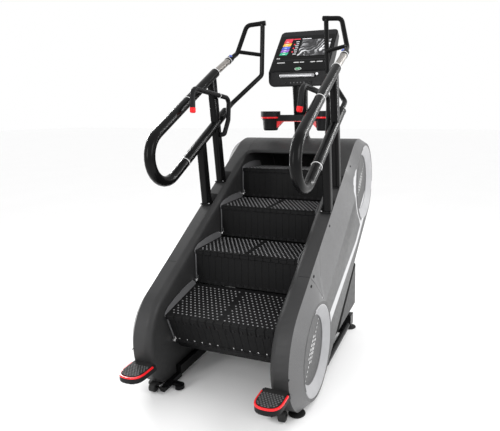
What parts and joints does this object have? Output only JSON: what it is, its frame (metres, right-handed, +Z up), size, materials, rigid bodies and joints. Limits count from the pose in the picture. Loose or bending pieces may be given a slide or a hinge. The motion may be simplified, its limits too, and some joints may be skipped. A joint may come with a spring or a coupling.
{
  "type": "stair climber",
  "caption": "Revolving-stair exercise machine with tall side shrouds, looped handrails, assist grips, a mast-mounted touch console, cup holders and step-up platforms.",
  "frame": {"origin": "centre of the footprint on the floor, under the middle of the bounding box", "axes": "+X to the climber's right, +Y from the climber towards the console, +Z up"},
  "size_m": [0.9928, 1.9393, 2.1697],
  "materials": {
    "graphite": "fine-textured moulded graphite",
    "mid_grey": "satin painted",
    "silver": "satin silver",
    "black_paint": "satin powder coat",
    "black_plastic": "fine-textured moulded",
    "rubber": "matt",
    "step": "textured moulded tread",
    "steel": "machined",
    "sensor": "brushed",
    "red": "satin",
    "gloss_black": "glossy",
    "screen": "glossy display",
    "green": "satin",
    "button": "satin"
  },
  "bodies": {
    "frame": {"base_frame": "black_paint", "belly_pan": "black_plastic", "hood": "graphite", "rear_cover": "graphite", "drive_unit": "black_paint", "console_mast": "black_paint", "cup_tray": "black_plastic", "console_shell": "black_plastic", "console_bezel": "gloss_black", "console_screen": "screen", "reading_shelf": "silver", "right_side_shroud": "graphite", "left_side_shroud": "graphite", "right_lower_cover": "mid_grey", "left_lower_cover": "mid_grey", "right_upper_cover": "mid_grey", "left_upper_cover": "mid_grey", "right_lower_ring": "silver", "left_lower_ring": "silver", "right_upper_ring": "silver", "left_upper_ring": "silver", "right_rear_panel": "graphite", "left_rear_panel": "graphite", "right_platform": "black_plastic", "left_platform": "black_plastic", "right_platform_pad": "rubber", "left_platform_pad": "rubber", "right_handrail": "black_paint", "left_handrail": "black_paint", "right_pulse_sensor": "sensor", "left_pulse_sensor": "sensor", "right_upper_loop": "black_paint", "left_upper_loop": "black_paint", "right_assist_grip": "black_plastic", "left_assist_grip": "black_plastic", "right_grip_cap": "red", "left_grip_cap": "red"},
    "stair_flight": {"step_2": "step", "step_3": "step", "step_4": "step", "right_step_chain": "steel", "left_step_chain": "steel"},
    "lowest_tread": {"tread_1": "step"},
    "lowest_riser": {"riser_1": "step"},
    "return_step": {"step_0": "step"},
    "top_step": {"step_5": "step"},
    "lower_shaft": {"lower_shaft": "steel"},
    "upper_shaft": {"upper_shaft": "steel"},
    "drive_pulley": {"drive_pulley": "steel"},
    "start_button": {"start_button": "green"},
    "key_panel": {"key_panel": "black_plastic"},
    "volume_knob": {"volume_knob": "silver"},
    "right_front_foot": {"right_front_foot": "black_paint"},
    "right_rear_foot": {"right_rear_foot": "black_paint"},
    "right_transport_wheel": {"right_transport_wheel": "rubber"},
    "right_thumb_button": {"right_thumb_button": "button"},
    "left_front_foot": {"left_front_foot": "black_paint"},
    "left_rear_foot": {"left_rear_foot": "black_paint"},
    "left_transport_wheel": {"left_transport_wheel": "rubber"},
    "left_thumb_button": {"left_thumb_button": "button"}
  },
  "joints": [
    {"name": "flight_travel", "type": "slide", "parent": "frame", "child": "stair_flight", "axis": [0, -0.8473, -0.5311], "range_m": [0, 0.03]},
    {"name": "lowest_tread_pin", "type": "hinge", "parent": "stair_flight", "child": "lowest_tread", "pos_m": [0, -0.35383, 0.49642], "axis": [1, 0, 0], "range_deg": [0, 5.04]},
    {"name": "lowest_riser_hinge", "type": "hinge", "parent": "lowest_tread", "child": "lowest_riser", "pos_m": [0, -0.67376, 0.4092], "axis": [1, 0, 0], "range_deg": [0, 6.33]},
    {"name": "return_step_pin", "type": "hinge", "parent": "lowest_riser", "child": "return_step", "pos_m": [0, -0.59902, 0.23495], "axis": [1, 0, 0], "range_deg": [-4.08, 0]},
    {"name": "top_step_pin", "type": "hinge", "parent": "stair_flight", "child": "top_step", "pos_m": [0, 0.65701, 1.11133], "axis": [1, 0, 0], "range_deg": [0, 11.96]},
    {"name": "lower_shaft_turn", "type": "hinge", "parent": "frame", "child": "lower_shaft", "pos_m": [0, -0.51, 0.2805], "axis": [1, 0, 0], "range_deg": [0, 17.53]},
    {"name": "upper_shaft_turn", "type": "hinge", "parent": "frame", "child": "upper_shaft", "pos_m": [0, 0.65587, 1.01134], "axis": [1, 0, 0], "range_deg": [0, 17.53]},
    {"name": "drive_pulley_turn", "type": "hinge", "parent": "frame", "child": "drive_pulley", "pos_m": [0.2075, 0.3, 0.66], "axis": [1, 0, 0], "range_deg": [0, 35.07]},
    {"name": "right_front_foot_screw", "type": "slide", "parent": "frame", "child": "right_front_foot", "axis": [0, 0, -1], "range_m": [0, 0.01]},
    {"name": "right_rear_foot_screw", "type": "slide", "parent": "frame", "child": "right_rear_foot", "axis": [0, 0, -1], "range_m": [0, 0.01]},
    {"name": "right_transport_wheel_axle", "type": "hinge", "parent": "frame", "child": "right_transport_wheel", "pos_m": [0.38, -0.748, 0.03], "axis": [1, 0, 0], "continuous": true},
    {"name": "right_thumb_press", "type": "slide", "parent": "frame", "child": "right_thumb_button", "axis": [0.4586, 0.3974, -0.7948], "range_m": [0, 0.0015], "stiffness_N_per_m": 800},
    {"name": "left_front_foot_screw", "type": "slide", "parent": "frame", "child": "left_front_foot", "axis": [0, 0, -1], "range_m": [0, 0.01]},
    {"name": "left_rear_foot_screw", "type": "slide", "parent": "frame", "child": "left_rear_foot", "axis": [0, 0, -1], "range_m": [0, 0.01]},
    {"name": "left_transport_wheel_axle", "type": "hinge", "parent": "frame", "child": "left_transport_wheel", "pos_m": [-0.38, -0.748, 0.03], "axis": [1, 0, 0], "continuous": true},
    {"name": "left_thumb_press", "type": "slide", "parent": "frame", "child": "left_thumb_button", "axis": [-0.4586, 0.3974, -0.7948], "range_m": [0, 0.0015], "stiffness_N_per_m": 800},
    {"name": "start_press", "type": "slide", "parent": "frame", "child": "start_button", "axis": [0, 0.7436, -0.6686], "range_m": [0, 0.0012], "stiffness_N_per_m": 800},
    {"name": "key_panel_press", "type": "slide", "parent": "frame", "child": "key_panel", "axis": [0, 1, 0], "range_m": [0, 0.0012], "stiffness_N_per_m": 1200},
    {"name": "volume_knob_turn", "type": "hinge", "parent": "frame", "child": "volume_knob", "pos_m": [0.15, 0.584, 1.789], "axis": [0, -1, 0], "range_deg": [-150, 150]}
  ],
  "couplings": [
    {"joint": "lowest_tread_pin", "follows": "flight_travel", "rad_per_m": 2.8727},
    {"joint": "lowest_riser_hinge", "follows": "flight_travel", "rad_per_m": 3.611},
    {"joint": "return_step_pin", "follows": "flight_travel", "rad_per_m": -2.3253},
    {"joint": "top_step_pin", "follows": "flight_travel", "rad_per_m": 6.8194},
    {"joint": "lower_shaft_turn", "follows": "flight_travel", "rad_per_m": 10},
    {"joint": "upper_shaft_turn", "follows": "flight_travel", "rad_per_m": 10},
    {"joint": "drive_pulley_turn", "follows": "flight_travel", "rad_per_m": 20}
  ]
}
